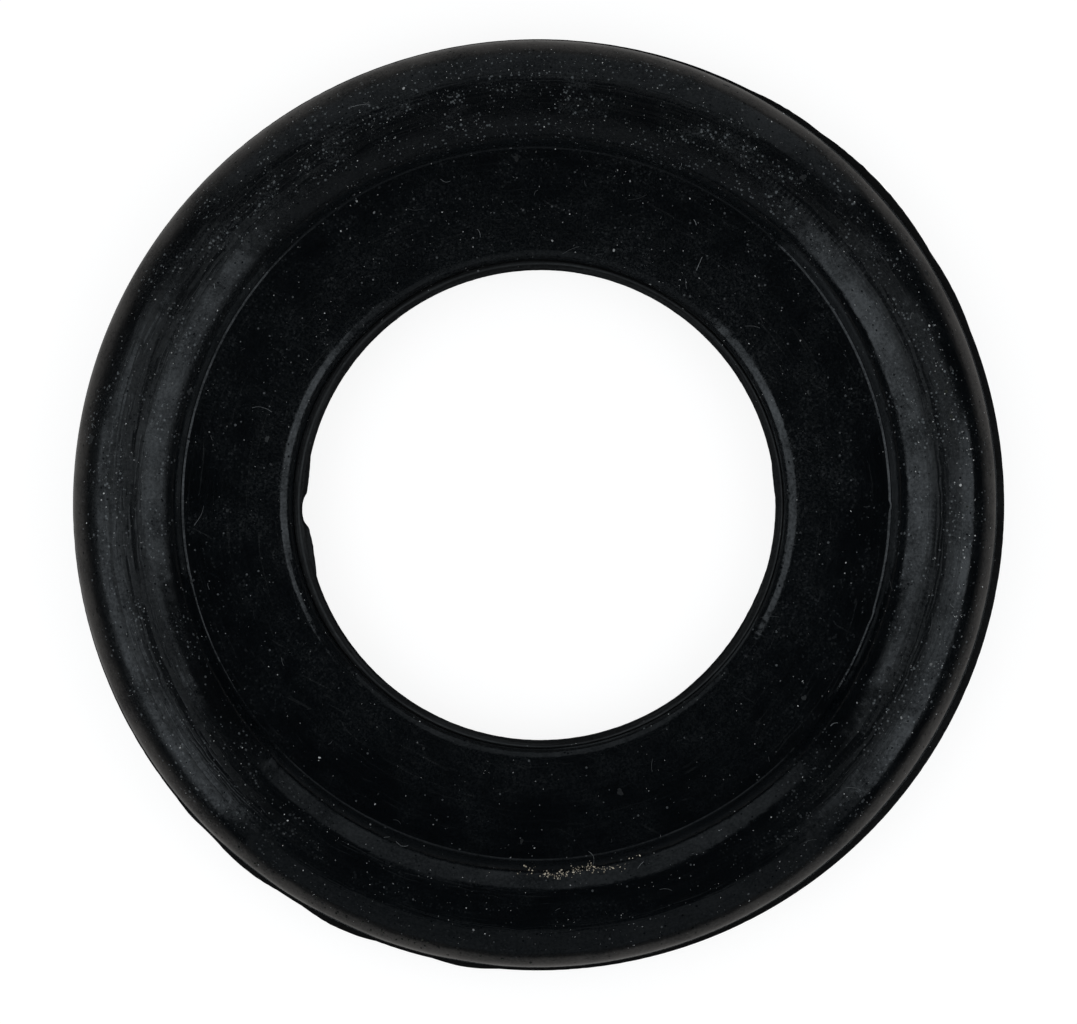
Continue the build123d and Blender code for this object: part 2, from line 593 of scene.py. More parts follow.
def make_grit(s):
    """Grit gathered on the slope of the bead."""
    rng = random.Random(23)
    bm = bmesh.new()
    for _ in range(s.grit):
        angle = math.radians(rng.gauss(*GRIT_ANGLE))
        radius = GRIT_RADIUS[0] + rng.gauss(0, GRIT_RADIUS[1]) + GRIT_SWING * math.sin(angle * 40)
        size = min(0.022, 0.006 + rng.expovariate(1 / 0.0045))
        add_grain(bm, rng, *polar(radius, angle), size)
    return bm


def make_crumbs(s):
    """Crumbs of torn flash along the rim, and a few on the outer slope."""
    rng = random.Random(31)
    bm = bmesh.new()
    for x, y, size in LARGE_CRUMBS:
        add_grain(bm, rng, x, y, size)
    for _ in range(s.crumbs):
        angle = math.radians(rng.gauss(*CRUMB_ANGLE))
        radius = rng.uniform(*CRUMB_RADIUS)
        add_grain(bm, rng, *polar(radius, angle), rng.uniform(0.009, 0.026))
    return bm


# ---------------------------------------------------------------- materials


# the nodes that the materials use most
MATH = "ShaderNodeMath"
VECTOR = "ShaderNodeVectorMath"
SEPARATE = "ShaderNodeSeparateXYZ"
SEPARATE_COLOUR = "ShaderNodeSeparateColor"
RANGE = "ShaderNodeMapRange"
NOISE = "ShaderNodeTexNoise"
CELLS = "ShaderNodeTexVoronoi"
MIX = "ShaderNodeMix"
SMOOTHLY = {"interpolation_type": "SMOOTHSTEP"}

# the sizes of the rubber's patterns, in millimetres: 0.04, 0.06 and 1.1 for the film, whose grain is finer on
# real rubber and is drawn at this size so that it shows, and 0.11, 0.07 and 0.45 for what is stuck in it
FILM_GRAIN = 1 / 26
FILM_MOTTLE = 1 / 17
FILM_PATCH = 1 / 0.9
SPECK_CELL = 1 / 9
FINE_CELL = 1 / 15
STAIN_CELL = 1 / 2.2
# patterns drawn out along the ring: how often each repeats in a millimetre across it, and in a radian round
# it. On the bead that makes smears of 0.6 by 1.1 mm, waves of 0.5 by 0.6, scuffs of 0.1 by 1.1 and arcs of
# 0.2 by 3.6. The mould's turning lines are finer in real life, and are drawn 0.06 apart so that they show
SMEARS = (1.6, 7.0, 7.0)
SWELL = (2.2, 14.0, 14.0)
TURNING_LINES = (17.0, 2.0, 2.0)
SCUFFS = (9.0, 7.0, 7.0)
ARCS = (5.0, 2.2, 2.2)
# straight scratches: their slant, and their spacing across and along it in millimetres
SCRATCH_SLANT = math.radians(62)
SCRATCH_SPACING = (1 / 14, 1 / 0.7, 1.0)
# the chatter that the cutter left in the mould: its radius and the distance between its marks
CHATTER_RADIUS = 7.68
CHATTER_PITCH = 0.105
# the darkest colours of the lint and the grains, for thin fibres and for grains in shade
THIN_LINT = "#26292b"
DARK_DUST = "#2c3033"
DARK_GRIT = "#6b5f4a"
DARK_CRUMBS = "#050606"


def new_material(name):
    """An empty node material and its tree."""
    old = bpy.data.materials.get(name)
    if old is not None:
        bpy.data.materials.remove(old)
    made = bpy.data.materials.new(name)
    made.use_nodes = True
    made.node_tree.nodes.clear()
    return made, made.node_tree


def moulded_nitrile_rubber(s):
    """Nitrile rubber pressed in a polished steel mould: black and glossy, with a grey film of bloom and dust
    that dulls the gloss in patches, and fine turning marks of the mould that run round it."""
    material, t = new_material("moulded_nitrile_rubber")
    place = add(t, "ShaderNodeTexCoord", out=3)
    mm = add(t, VECTOR, {0: place, 3: 1 / MM}, operation="SCALE")
    height = add(t, SEPARATE, {0: mm}, out=2)
    flat = add(t, VECTOR, {0: mm, 1: (1.0, 1.0, 0.0)}, operation="MULTIPLY")
    radius = add(t, VECTOR, {0: flat}, operation="LENGTH", out=1)
    outward = add(t, VECTOR, {0: flat}, operation="NORMALIZE")
    east = add(t, SEPARATE, {0: outward}, out=0)
    north = add(t, SEPARATE, {0: outward}, out=1)
    lane = add(t, "ShaderNodeCombineXYZ", {0: radius, 1: east, 2: north})

    # where things are: the worn crest, the flat web and its inner part, the side towards +Y, the -X side,
    # and how much of the bloom is left on the bead, which is rubbed bright towards -Y
    crest = add(t, RANGE, {0: height, 1: 1.93, 2: 2.03}, **SMOOTHLY)
    web = add(t, RANGE, {0: radius, 1: 6.95, 2: 6.60}, **SMOOTHLY)
    lipward = add(t, RANGE, {0: radius, 1: 6.7, 2: 4.9}, **SMOOTHLY)
    northern = add(t, RANGE, {0: north, 1: -0.5, 2: 0.9}, **SMOOTHLY)
    western = add(t, RANGE, {0: east, 1: 0.9, 2: -0.9, 3: 0.25, 4: 1.0}, **SMOOTHLY)
    polished = add(t, RANGE, {0: north, 1: -0.45, 2: -0.92, 3: 1.0, 4: 0.08}, **SMOOTHLY)
    level = add(t, MATH, {0: height, 1: 1.03}, operation="SUBTRACT")
    level = add(t, MATH, {0: level}, operation="ABSOLUTE")
    in_hole = add(t, RANGE, {0: radius, 1: 4.80, 2: 4.74}, **SMOOTHLY)
    at_rim = add(t, RANGE, {0: radius, 1: 8.70, 2: 8.80}, **SMOOTHLY)
    torn = add(t, RANGE, {0: level, 1: 0.135, 2: 0.115}, **SMOOTHLY)
    edges = add(t, MATH, {0: in_hole, 1: at_rim}, operation="MAXIMUM")
    torn = add(t, MATH, {0: torn, 1: edges}, operation="MULTIPLY")
    rim_band = add(t, RANGE, {0: level, 1: 0.40, 2: 0.22}, **SMOOTHLY)
    rim_band = add(t, MATH, {0: rim_band, 1: at_rim}, operation="MULTIPLY")
    # a painted highlight: the ridge beside the land is drawn pale where its rounded edge catches the panels'
    # light
    ridge_highlight = add(t, RANGE, {0: radius, 1: 4.640, 2: 4.662}, **SMOOTHLY)
    ridge_highlight_end = add(t, RANGE, {0: radius, 1: 4.700, 2: 4.685}, **SMOOTHLY)
    ridge_highlight = add(t, MATH, {0: ridge_highlight, 1: ridge_highlight_end}, operation="MULTIPLY")
    land = add(t, RANGE, {0: radius, 1: 4.745, 2: 4.725}, **SMOOTHLY)

    # the patterns: the film's grain, mottle and patches, smears drawn out along the ring, the mould's
    # waviness, which also bends the turning lines and the hairline arcs, and the scuffs and scratches
    grain = add(t, NOISE, {0: mm, 2: 1 / FILM_GRAIN, 3: 2.0, 4: 0.75})
    mottle = add(t, NOISE, {0: mm, 2: 1 / FILM_MOTTLE, 3: 3.0, 4: 0.8})
    patches = add(t, NOISE, {0: mm, 2: 1 / FILM_PATCH, 3: 4.0, 4: 0.62, 8: 0.5})
    drawn = add(t, VECTOR, {0: lane, 1: SMEARS}, operation="MULTIPLY")
    smears = add(t, NOISE, {0: drawn, 2: 1.0, 3: 4.0, 4: 0.6})
    drawn = add(t, VECTOR, {0: lane, 1: SWELL}, operation="MULTIPLY")
    swell = add(t, NOISE, {0: drawn, 2: 1.0, 3: 2.0, 4: 0.6})
    bent = add(t, MATH, {0: swell, 1: 0.09, 2: radius}, operation="MULTIPLY_ADD")
    bent = add(t, "ShaderNodeCombineXYZ", {0: bent, 1: east, 2: north})
    drawn = add(t, VECTOR, {0: bent, 1: TURNING_LINES}, operation="MULTIPLY")
    lines = add(t, NOISE, {0: drawn, 2: 1.0, 3: 1.0, 4: 0.6})
    drawn = add(t, VECTOR, {0: lane, 1: SCUFFS}, operation="MULTIPLY")
    scuffs = add(t, NOISE, {0: drawn, 2: 1.0, 3: 3.0, 4: 0.6})
    drawn = add(t, VECTOR, {0: bent, 1: ARCS}, operation="MULTIPLY")
    arcs = add(t, NOISE, {0: drawn, 2: 1.0, 3: 0.0})
    slant = {0: mm, 2: (0.0, 0.0, SCRATCH_SLANT), 3: SCRATCH_SPACING}
    turned = add(t, "ShaderNodeMapping", slant, vector_type="TEXTURE")
    scratches = add(t, NOISE, {0: turned, 2: 1.0, 3: 1.0, 4: 0.5})

    # the film: more of it near the lip and on the +Y side, in patches and smears, broken up by its grain.
    # The patterns add up to a lot nearly everywhere, so a large share is taken off first
    cover = add(t, MATH, {0: web, 1: lipward}, operation="MULTIPLY")
    cover = add(t, MATH, {0: cover, 1: 0.24, 2: -0.99}, operation="MULTIPLY_ADD")
    cover = add(t, MATH, {0: northern, 1: 0.19, 2: cover}, operation="MULTIPLY_ADD")
    cover = add(t, MATH, {0: smears, 1: 1.1, 2: cover}, operation="MULTIPLY_ADD")
    cover = add(t, MATH, {0: patches, 1: 1.1, 2: cover}, operation="MULTIPLY_ADD", use_clamp=True)
    thick = add(t, RANGE, {0: grain, 1: 0.40, 2: 0.66, 3: 0.25, 4: 1.9}, **SMOOTHLY)
    film = add(t, MATH, {0: cover, 1: thick}, operation="MULTIPLY")

    # specks stuck in the film, one to a cell and most too small to see, pits, and stains of dried drops
    cell = add(t, CELLS, {0: mm, 2: 1 / SPECK_CELL})
    picked = add(t, CELLS, {0: mm, 2: 1 / SPECK_CELL}, out=1)
    speck_reach = add(t, SEPARATE_COLOUR, {0: picked}, out=0)
    speck_reach = add(t, MATH, {0: speck_reach, 1: 7.0}, operation="POWER")
    speck_reach = add(t, MATH, {0: speck_reach, 1: 0.25}, operation="MULTIPLY")
    specks = add(t, MATH, {0: speck_reach, 1: cell}, operation="SUBTRACT")
    specks = add(t, RANGE, {0: specks, 1: 0.0, 2: 0.07}, **SMOOTHLY)
    pit_reach = add(t, SEPARATE_COLOUR, {0: picked}, out=1)
    pit_reach = add(t, RANGE, {0: pit_reach, 1: 0.90, 2: 1.0, 3: -0.1, 4: 0.26})
    pits = add(t, MATH, {0: pit_reach, 1: cell}, operation="SUBTRACT")
    pits = add(t, RANGE, {0: pits, 1: 0.0, 2: 0.06}, **SMOOTHLY)
    uneven = add(t, NOISE, {0: mm, 2: 9.0, 3: 1.0, 4: 0.5}, out=1)
    uneven = add(t, VECTOR, {0: uneven, 3: 0.16}, operation="SCALE")
    uneven = add(t, VECTOR, {0: mm, 1: uneven}, operation="ADD")
    cell = add(t, CELLS, {0: uneven, 2: 1 / STAIN_CELL})
    picked = add(t, CELLS, {0: uneven, 2: 1 / STAIN_CELL}, out=1)
    stain_reach = add(t, SEPARATE_COLOUR, {0: picked}, out=1)
    stain_reach = add(t, MATH, {0: stain_reach, 1: 5.0}, operation="POWER")
    stain_reach = add(t, MATH, {0: stain_reach, 1: 0.15}, operation="MULTIPLY")
    stains = add(t, MATH, {0: stain_reach, 1: cell}, operation="SUBTRACT")
    stains = add(t, RANGE, {0: stains, 1: 0.0, 2: 0.03}, **SMOOTHLY)

    # finer dust on the bead, a grain of up to 0.03 mm in one of two cells and more where the film gathers,
    # and pits where dust was pressed in
    cell = add(t, CELLS, {0: mm, 2: 1 / FINE_CELL})
    picked = add(t, CELLS, {0: mm, 2: 1 / FINE_CELL}, out=1)
    fine_reach = add(t, SEPARATE_COLOUR, {0: picked}, out=2)
    fine_reach = add(t, RANGE, {0: fine_reach, 1: 0.45, 2: 1.0, 3: 0.0, 4: 0.42})
    gathered = add(t, RANGE, {0: smears, 1: 0.36, 2: 0.60, 3: 0.30, 4: 1.15}, **SMOOTHLY)
    fine_reach = add(t, MATH, {0: fine_reach, 1: gathered}, operation="MULTIPLY")
    fine = add(t, MATH, {0: fine_reach, 1: cell}, operation="SUBTRACT")
    fine = add(t, RANGE, {0: fine, 1: 0.0, 2: 0.10}, **SMOOTHLY)
    pit_reach = add(t, SEPARATE_COLOUR, {0: picked}, out=0)
    pit_reach = add(t, RANGE, {0: pit_reach, 1: 0.84, 2: 1.0, 3: -0.05, 4: 0.42})
    small_pits = add(t, MATH, {0: pit_reach, 1: cell}, operation="SUBTRACT")
    small_pits = add(t, RANGE, {0: small_pits, 1: 0.0, 2: 0.08}, **SMOOTHLY)
    pits = add(t, MATH, {0: pits, 1: small_pits}, operation="MAXIMUM")
    on_bead = add(t, RANGE, {0: height, 1: 1.45, 2: 1.80, 3: 0.12, 4: 1.0}, **SMOOTHLY)
    on_bead = add(t, MATH, {0: on_bead, 1: polished}, operation="MULTIPLY")
    fine = add(t, MATH, {0: fine, 1: on_bead}, operation="MULTIPLY")

    # wear: scuffs and turning lines on the crest, less of them at +X and +Y, clouds of film on the crest
    # towards +Y, and on the web a few straight scratches and hairline arcs that follow the turning lines
    lines_seen = add(t, RANGE, {0: lines, 1: 0.48, 2: 0.62}, **SMOOTHLY)
    ring_lines = add(t, MATH, {0: lines_seen, 1: 1.3, 2: 0.5}, operation="MULTIPLY_ADD")
    land = add(t, MATH, {0: land, 1: ring_lines}, operation="MULTIPLY")
    scuffs_seen = add(t, RANGE, {0: scuffs, 1: 0.46, 2: 0.68}, **SMOOTHLY)
    scratches_seen = add(t, RANGE, {0: scratches, 1: 0.73, 2: 0.78}, **SMOOTHLY)
    rubbed = add(t, MATH, {0: lines_seen, 1: scuffs_seen}, operation="MAXIMUM")
    worn = add(t, MATH, {0: rubbed, 1: 0.75, 2: 0.38}, operation="MULTIPLY_ADD")
    less_east = add(t, RANGE, {0: east, 1: 0.2, 2: 0.9, 3: 1.0, 4: 0.78}, **SMOOTHLY)
    less_north = add(t, RANGE, {0: north, 1: 0.45, 2: 0.90, 3: 1.0, 4: 0.38}, **SMOOTHLY)
    for share in (crest, polished, less_east, less_north):
        worn = add(t, MATH, {0: worn, 1: share}, operation="MULTIPLY")
    clouds = add(t, RANGE, {0: smears, 1: 0.50, 2: 0.64}, **SMOOTHLY)
    for share in (thick, crest, northern):
        clouds = add(t, MATH, {0: clouds, 1: share}, operation="MULTIPLY")
    arcs_seen = add(t, MATH, {0: arcs, 1: 0.5}, operation="SUBTRACT")
    arcs_seen = add(t, MATH, {0: arcs_seen}, operation="ABSOLUTE")
    arcs_seen = add(t, RANGE, {0: arcs_seen, 1: 0.012, 2: 0.004}, **SMOOTHLY)
    arcs_seen = add(t, MATH, {0: arcs_seen, 1: lines_seen}, operation="MULTIPLY")
    scratches_seen = add(t, MATH, {0: scratches_seen, 1: arcs_seen}, operation="MAXIMUM")
    scored = add(t, MATH, {0: scratches_seen, 1: web}, operation="MULTIPLY")
    scored = add(t, MATH, {0: lines_seen, 1: 0.12, 2: scored}, operation="MULTIPLY_ADD")

    # how much of the pale film shows, paler in a band along the rim and over the land along its turning
    # lines, with a painted highlight in the film's colour on the ridge beside the land, and the brown-black
    # of torn rubber
    pale = add(t, MATH, {0: film, 1: 0.016}, operation="MULTIPLY")
    layers = ((scored, 0.008), (worn, 0.006), (clouds, 0.015), (land, 0.028), (stains, 0.022))
    layers += ((specks, 0.10), (fine, 0.15), (rim_band, 0.085), (ridge_highlight, 0.065))
    for layer, strength in layers:
        pale = add(t, MATH, {0: layer, 1: strength, 2: pale}, operation="MULTIPLY_ADD")
    base = add(t, MIX, {0: pale, 6: s.rubber, 7: s.film}, out=2, data_type="RGBA")
    bared = add(t, MATH, {0: at_rim, 1: 0.33, 2: 0.60}, operation="MULTIPLY_ADD")
    bared = add(t, MATH, {0: torn, 1: bared}, operation="MULTIPLY")
    base = add(t, MIX, {0: bared, 6: base, 7: s.torn}, out=2, data_type="RGBA")

    # roughness: polished where bare, dulled by the film, the wear and what sticks to it. The inner flank
    # and the -X side are hazy, which widens the lights that they reflect
    dull = add(t, MATH, {0: film, 1: 0.16, 2: 0.06}, operation="MULTIPLY_ADD")
    dull = add(t, MATH, {0: worn, 1: 0.37, 2: dull}, operation="MULTIPLY_ADD")
    hazy = add(t, RANGE, {0: radius, 1: 8.05, 2: 7.75}, **SMOOTHLY)
    hazy = add(t, MATH, {0: hazy, 1: western}, operation="MAXIMUM")
    on_flank = add(t, RANGE, {0: radius, 1: 7.05, 2: 7.25}, **SMOOTHLY)
    off_crest = add(t, MATH, {0: crest, 1: -0.9, 2: 1.0}, operation="MULTIPLY_ADD")
    for share in (on_flank, off_crest, polished):
        hazy = add(t, MATH, {0: hazy, 1: share}, operation="MULTIPLY")
    dull = add(t, MATH, {0: hazy, 1: 0.13, 2: dull}, operation="MULTIPLY_ADD")
    dull = add(t, MATH, {0: scored, 1: 0.12, 2: dull}, operation="MULTIPLY_ADD")
    stuck = add(t, MATH, {0: specks, 1: stains}, operation="MAXIMUM")
    stuck = add(t, MATH, {0: stuck, 1: torn}, operation="MAXIMUM")
    dull = add(t, MATH, {0: stuck, 1: 0.40, 2: dull}, operation="MULTIPLY_ADD", use_clamp=True)
    shine = add(t, MATH, {0: patches, 1: 0.6, 2: -0.60}, operation="MULTIPLY_ADD")
    shine = add(t, MATH, {0: smears, 1: 0.6, 2: shine}, operation="MULTIPLY_ADD")
    shine = add(t, MATH, {0: mottle, 1: 0.9, 2: shine}, operation="MULTIPLY_ADD")
    shine = add(t, RANGE, {0: shine, 1: 0.23, 2: 0.67, 3: 0.88, 4: 0.16})
    for layer, loss in ((torn, 0.65), (pits, 0.9)):
        kept = add(t, MATH, {0: layer, 1: -loss, 2: 1.0}, operation="MULTIPLY_ADD")
        shine = add(t, MATH, {0: shine, 1: kept}, operation="MULTIPLY")

    # relief in millimetres: furrows on the crest, the mould's waviness, and chatter in the inner flank on
    # the +X side
    furrows = add(t, MATH, {0: crest, 1: western}, operation="MULTIPLY")
    furrows = add(t, MATH, {0: furrows, 1: 0.0036, 2: 0.0001}, operation="MULTIPLY_ADD")
    relief = add(t, MATH, {0: rubbed, 1: furrows}, operation="MULTIPLY")
    relief = add(t, MATH, {0: swell, 1: 0.012, 2: relief}, operation="MULTIPLY_ADD")
    chatter = add(t, MATH, {0: north, 1: east}, operation="ARCTAN2")
    marks = 2 * math.pi * CHATTER_RADIUS / CHATTER_PITCH
    chatter = add(t, MATH, {0: chatter, 1: marks}, operation="MULTIPLY")
    chatter = add(t, MATH, {0: chatter}, operation="SINE")
    for where, none, full in ((radius, 7.52, 7.62), (radius, 7.82, 7.72), (east, 0.30, 0.60)):
        share = add(t, RANGE, {0: where, 1: none, 2: full}, **SMOOTHLY)
        chatter = add(t, MATH, {0: chatter, 1: share}, operation="MULTIPLY")
    relief = add(t, MATH, {0: chatter, 1: 0.0009, 2: relief}, operation="MULTIPLY_ADD")
    relief = add(t, MATH, {0: mottle, 1: 0.0010, 2: relief}, operation="MULTIPLY_ADD")
    rough = add(t, MATH, {0: torn, 1: 0.006, 2: 0.0004}, operation="MULTIPLY_ADD")
    relief = add(t, MATH, {0: grain, 1: rough, 2: relief}, operation="MULTIPLY_ADD")
    bump = add(t, "ShaderNodeBump", {"Height": relief, "Strength": 1.0, "Distance": MM})

    skin = {"Base Color": base, "Roughness": dull, "Specular IOR Level": shine, "IOR": 1.52, "Normal": bump}
    skin.update({"Anisotropic": 0.75, "Tangent": outward})
    add(t, "ShaderNodeOutputMaterial", {"Surface": add(t, "ShaderNodeBsdfPrincipled", skin)})
    return material


def lint_fibre_material(s):
    """Cotton and polyester lint: pale and dull, and fainter where a fibre is thin."""
    material, t = new_material("loose_textile_lint")
    place = add(t, "ShaderNodeTexCoord", out=3)
    mm = add(t, VECTOR, {0: place, 3: 1 / MM}, operation="SCALE")
    change = add(t, NOISE, {0: mm, 2: 1.5, 3: 2.0})
    change = add(t, RANGE, {0: change, 1: 0.35, 2: 0.65, 3: 0.3, 4: 1.0})
    each = add(t, MATH, {0: add(t, "ShaderNodeNewGeometry", out=8), 1: 2.5}, operation="POWER")
    change = add(t, MATH, {0: change, 1: each}, operation="MULTIPLY")
    tint = add(t, MIX, {0: change, 6: hex_linear(THIN_LINT), 7: s.lint}, out=2, data_type="RGBA")
    skin = add(t, "ShaderNodeBsdfPrincipled", {"Base Color": tint, "Roughness": 0.6, "IOR": 1.5})
    add(t, "ShaderNodeOutputMaterial", {"Surface": skin})
    return material


def grain_material(name, pale, dark, darker_share=1.0):
    """Loose grains: dull, with a colour that changes from grain to grain and a little within a grain."""
    material, t = new_material(name)
    place = add(t, "ShaderNodeTexCoord", out=3)
    mm = add(t, VECTOR, {0: place, 3: 1 / MM}, operation="SCALE")
    each = add(t, "ShaderNodeNewGeometry", out=8)
    each = add(t, MATH, {0: each, 1: darker_share}, operation="POWER")
    within = add(t, NOISE, {0: mm, 2: 60.0, 3: 1.0})
    each = add(t, MATH, {0: within, 1: 0.3, 2: each}, operation="MULTIPLY_ADD", use_clamp=True)
    tint = add(t, MIX, {0: each, 6: hex_linear(dark), 7: pale}, out=2, data_type="RGBA")
    skin = add(t, "ShaderNodeBsdfPrincipled", {"Base Color": tint, "Roughness": 0.75, "IOR": 1.5})
    add(t, "ShaderNodeOutputMaterial", {"Surface": skin})
    return material


# ---------------------------------------------------------------- operators


class SEALING_OT_ring(bpy.types.Operator):
    """Builds the rubber ring, with its flash, and hides the plain CAD ring behind it"""

    bl_idname = "sealing.ring"
    bl_label = "Rubber ring"

    def execute(self, context):
        s = context.scene.sealing_ring_sizes
        drop_old("rubber_ring")
        ring = finished(make_ring(s), "rubber_ring", moulded_nitrile_rubber(s))
        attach(ring, "root")
        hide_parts("sealing_ring")
        return {"FINISHED"}


class SEALING_OT_lint(bpy.types.Operator):
    """Lays short lint fibres on the ring"""

    bl_idname = "sealing.lint"
    bl_label = "Lint fibres"

    def execute(self, context):
        s = context.scene.sealing_dust
        drop_old("lint_fibres")
        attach(make_lint(s), "root")
        return {"FINISHED"}


class SEALING_OT_dust(bpy.types.Operator):
    """Scatters dust specks on the ring, grit at the foot of the bead and crumbs at the rim"""

    bl_idname = "sealing.dust"
    bl_label = "Dust and grit"

    def execute(self, context):
        s = context.scene.sealing_dust
        for name in ("dust_specks", "grit_grains", "rubber_crumbs"):
            drop_old(name)
        mineral = grain_material("mineral_dust", s.dust, DARK_DUST, 2.0)
        pale_grit = grain_material("pale_grit", s.pale_grit, DARK_GRIT)
        torn_rubber = grain_material("torn_rubber_crumbs", s.crumb, DARK_CRUMBS)
        dust = finished(make_specks(s), "dust_specks", mineral)
        grit = finished(make_grit(s), "grit_grains", pale_grit)
        crumbs = finished(make_crumbs(s), "rubber_crumbs", torn_rubber)
        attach(dust, "root")
        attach(grit, "root")
        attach(crumbs, "root")
        return {"FINISHED"}


class SEALING_OT_stage(bpy.types.Operator):
    """Builds the pale floor, the soft lights and the camera"""

    bl_idname = "sealing.stage"
    bl_label = "Studio"

    def execute(self, context):
        s = context.scene.sealing_studio
        scene = context.scene
        for name in ("studio_floor", "studio_camera", *(row[0] for row in SOFT_PANELS)):
            drop_old(name)
        make_floor(s)
        make_lights(scene)
        make_camera(s, scene)
        scene.view_settings.view_transform = "Standard"
        return {"FINISHED"}


# ---------------------------------------------------------------- stage

# soft panels round the part: name, centre, the point it faces, width along Y or X, height, radiance
SOFT_PANELS = (
    ("panel_left", (-24.0, -9.5, 36.3), (0.0, -9.5, 36.3), 29.0, 53.4, 0.85),
    ("panel_left_high", (-24.0, 9.0, 39.0), (0.0, 9.0, 39.0), 8.0, 42.0, 0.80),
    ("panel_right", (40.0, -13.0, 46.2), (0.0, -13.0, 46.2), 42.0, 57.6, 0.66),
    ("panel_right_high", (40.0, 14.0, 59.5), (0.0, 14.0, 59.5), 12.0, 39.0, 0.62),
    ("panel_right_near", (17.3, -4.0, 38.0), (15.0, -4.0, 0.0), 30.0, 6.2, 0.50),
    ("panel_right_wide", (26.0, -15.0, 29.5), (0.0, -15.0, 24.0), 30.0, 31.0, 0.15),
    ("panel_back_1", (-29.0, 35.0, 16.5), (-29.0, 0.0, 16.5), 16.0, 33.0, 0.20),
    ("panel_back_2", (-14.0, 35.0, 19.0), (-14.0, 0.0, 19.0), 14.0, 38.0, 0.20),
    ("panel_back_3", (0.0, 35.0, 17.0), (0.0, 0.0, 17.0), 14.0, 34.0, 0.20),
    ("panel_back_4", (12.5, 35.0, 19.5), (12.5, 0.0, 19.5), 11.0, 39.0, 0.20),
    ("panel_back_5", (27.0, 35.0, 17.5), (27.0, 0.0, 17.5), 18.0, 35.0, 0.20),
    ("panel_front", (0.0, -45.0, 25.0), (0.0, 0.0, 20.0), 80.0, 45.0, 0.10),
)
PANEL_COLOUR = "#ecf7ff"
# what the paper shows in the rubber's gloss, a glow with painted light and shade: a painted shadow in the
# hole, a painted pool of light beside the rim, painted dimming far away, and the distances from the middle of
# the hole where that changes
PAINTED_SHADOW_IN_HOLE = 0.03
PAINTED_LIGHT_BESIDE_RIM = 0.29
PAINTED_DIMMING_FAR_AWAY = 0.08
PAINTED_SHADOW_REACH = (4.5, 8.5)
PAINTED_DIMMING_REACH = (12.0, 22.0)
# the colour of that glow, a painted reflection of the paper that only the gloss sees
PAINTED_REFLECTION_COLOUR = "#fffbf7"
# the paper as the camera sees it: white with its own glow, and with as much of the shadow as this colour
# keeps
PAPER_SHADOWED = "#868686"
PAPER_GLOW = 0.84
PAPER_HALF_WIDTH = 3000
WHITE = "#ffffff"
# the room's even light, and what of the room shows in a gloss
ROOM_STRENGTH = 0.62
ROOM_IN_GLOSS = 0.012
# the camera's place over the ring, and the height that its picture's width is measured at
CAMERA_OFFSET = (-0.038, -0.134)
CAMERA_FOCUS_HEIGHT = 1.03
SENSOR_WIDTH = 36.0


def background_rays(t):
    """The rays that show the background: the camera's own and those through glass, and then the gloss's."""
    seen = add(t, "ShaderNodeLightPath", out=0)
    gloss = add(t, "ShaderNodeLightPath", out=3)
    through = add(t, "ShaderNodeLightPath", out=6)
    return add(t, MATH, {0: seen, 1: through}, operation="MAXIMUM"), gloss


def make_floor(s):
    """A pale floor that shows white to the camera and keeps a soft shadow, and that shows the rubber's gloss
    a glow with a painted shadow in the hole, a painted pool of light beside the rim and painted dimming far
    away.
    """
    bm = bmesh.new()
    bmesh.ops.create_grid(bm, x_segments=2, y_segments=2, size=PAPER_HALF_WIDTH)
    material, t = new_material("pale_paper_floor")
    shown, gloss = background_rays(t)
    paper = add(t, "ShaderNodeBsdfDiffuse", {"Color": s.floor})
    faint = add(t, "ShaderNodeBsdfDiffuse", {"Color": hex_linear(PAPER_SHADOWED)})
    glow = add(t, "ShaderNodeEmission", {"Color": hex_linear(WHITE), "Strength": PAPER_GLOW})
    lit = add(t, "ShaderNodeAddShader", {0: faint, 1: glow})
    place = add(t, "ShaderNodeTexCoord", out=3)
    mm = add(t, VECTOR, {0: place, 3: 1 / MM}, operation="SCALE")
    from_middle = add(t, VECTOR, {0: mm}, operation="LENGTH", out=1)
    # painted light and shade that the gloss sees on the paper: a painted shadow in the hole, a painted pool
    # of light beside the rim and painted dimming far away
    low, high = PAINTED_SHADOW_REACH
    painted_shadow_and_pool = {0: from_middle, 1: low, 2: high, 3: PAINTED_SHADOW_IN_HOLE, 4: PAINTED_LIGHT_BESIDE_RIM}
    painted_shadow_and_pool = add(t, RANGE, painted_shadow_and_pool, **SMOOTHLY)
    low, high = PAINTED_DIMMING_REACH
    painted_dimming = {0: from_middle, 1: low, 2: high, 3: 1.0, 4: PAINTED_DIMMING_FAR_AWAY / PAINTED_LIGHT_BESIDE_RIM}
    painted_dimming = add(t, RANGE, painted_dimming, **SMOOTHLY)
    strength = add(t, MATH, {0: painted_shadow_and_pool, 1: painted_dimming}, operation="MULTIPLY")
    painted_reflection = add(t, "ShaderNodeEmission", {"Color": hex_linear(PAINTED_REFLECTION_COLOUR), "Strength": strength})
    both = add(t, "ShaderNodeMixShader", {0: gloss, 1: paper, 2: painted_reflection})
    both = add(t, "ShaderNodeMixShader", {0: shown, 1: both, 2: lit})
    add(t, "ShaderNodeOutputMaterial", {"Surface": both})
    floor = finished(bm, "studio_floor", material)


